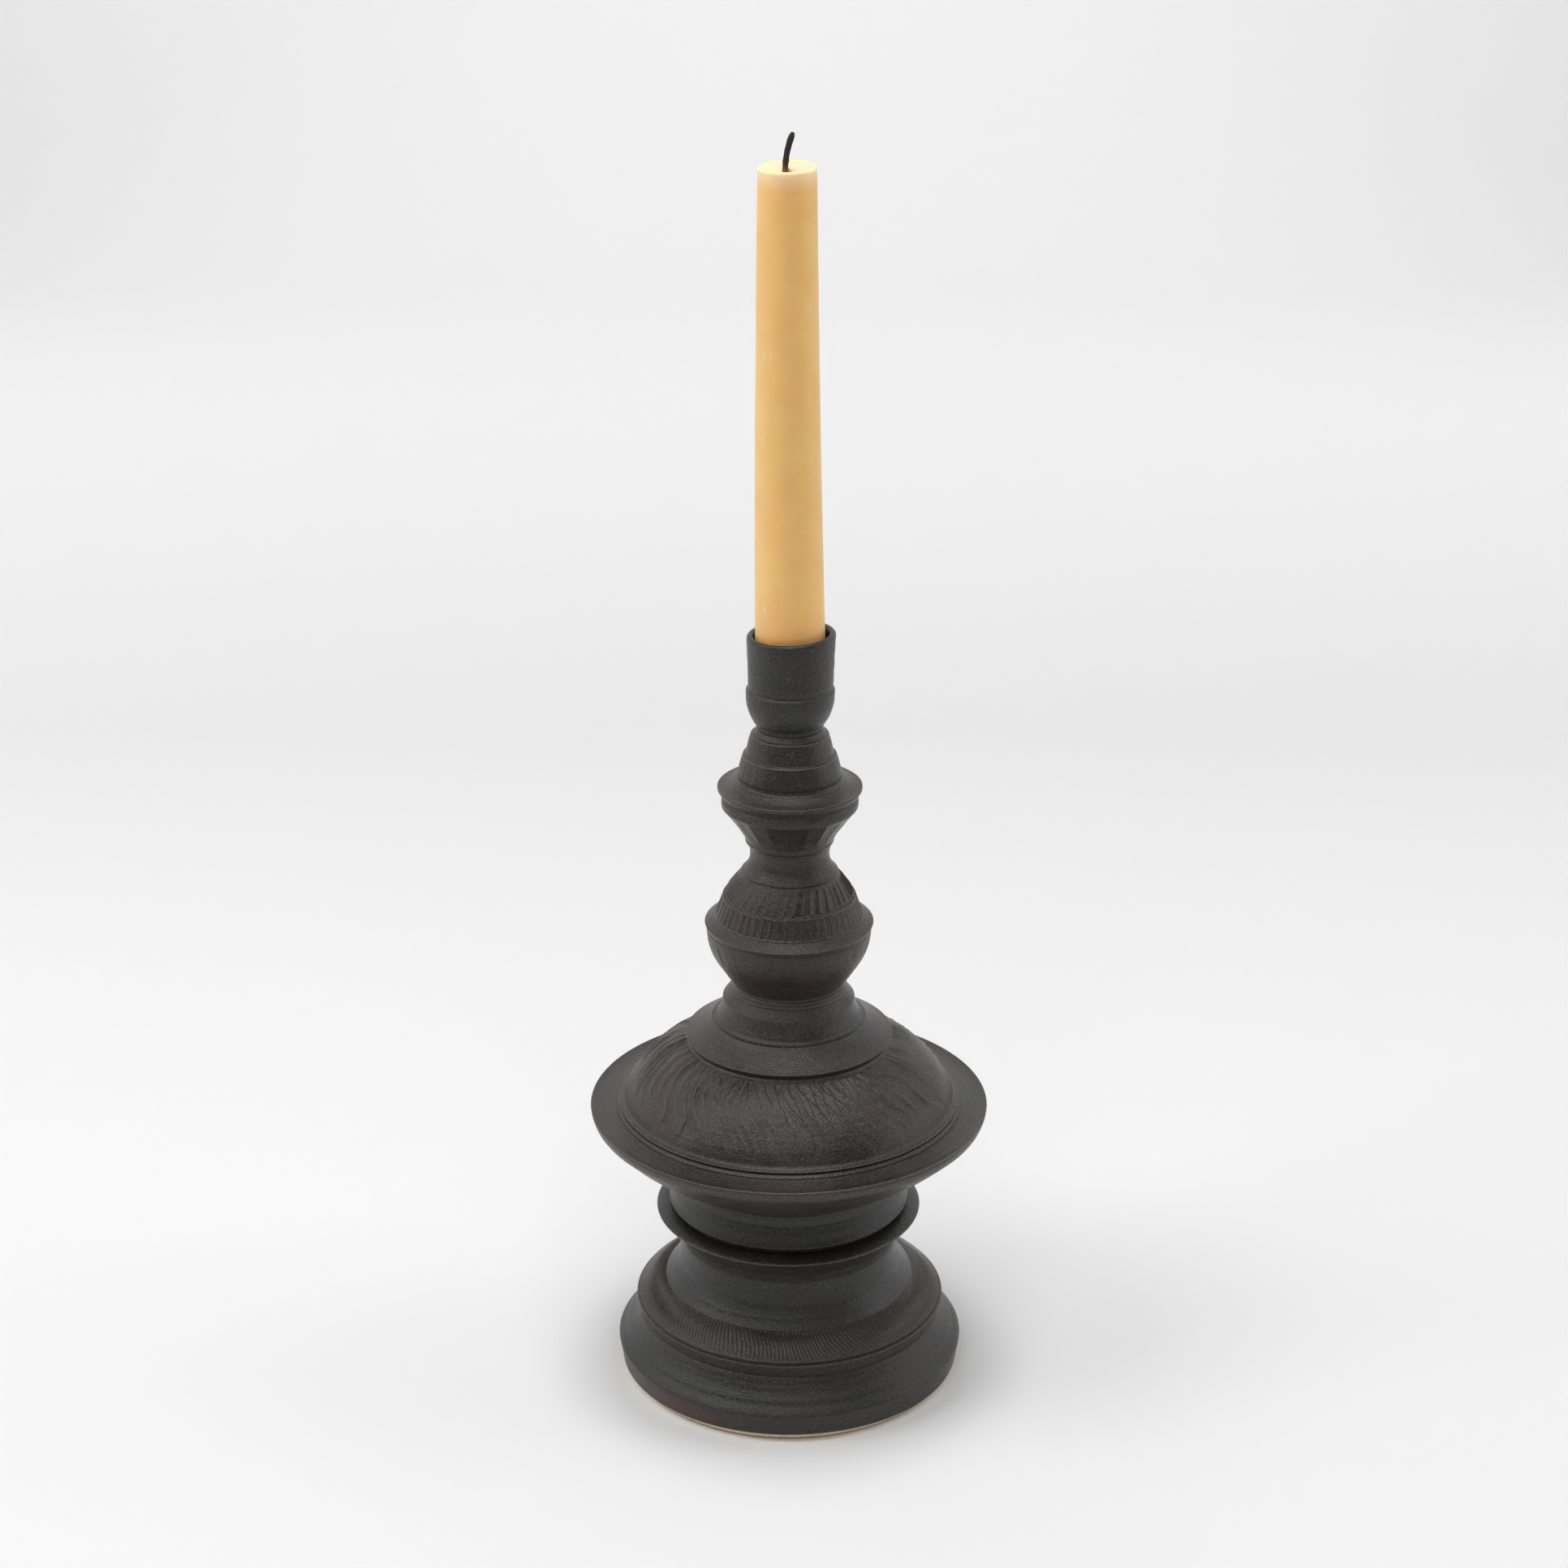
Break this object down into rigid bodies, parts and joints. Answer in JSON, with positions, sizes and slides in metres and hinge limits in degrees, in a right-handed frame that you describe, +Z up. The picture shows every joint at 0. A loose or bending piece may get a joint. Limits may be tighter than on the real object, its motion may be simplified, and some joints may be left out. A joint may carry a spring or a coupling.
{
  "type": "taper candlestick",
  "caption": "Tall thrown stoneware candlestick with a splayed foot, waist, wide dish under a carved dome, faceted bulb, drip cup and socket, holding a taper candle that lifts out.",
  "frame": {"origin": "centre of the standing face under the foot", "axes": "+Z up along the turned axis, +X to the right as seen from the front (looking along +Y); the wick bends towards +X"},
  "size_m": [0.132, 0.132, 0.4186],
  "materials": {
    "glaze": "satin-matt charcoal iron glaze that breaks brown on sharp edges, bare buff clay at the foot",
    "wax": "amber beeswax, soft sheen, paler and translucent at the melted tip",
    "wick": "burnt cotton braid"
  },
  "bodies": {
    "candlestick": {"plinth": "glaze", "foot_band": "glaze", "waist": "glaze", "drum": "glaze", "dish": "glaze", "dome": "glaze", "collar": "glaze", "bulb_lower": "glaze", "bulb_upper": "glaze", "reel": "glaze", "drip_cup": "glaze", "beehive": "glaze", "socket": "glaze"},
    "candle": {"candle": "wax", "wick": "wick"}
  },
  "joints": [
    {"name": "candle_lift", "type": "slide", "parent": "candlestick", "child": "candle", "axis": [0, 0, 1], "range_m": [0, 0.03]}
  ]
}
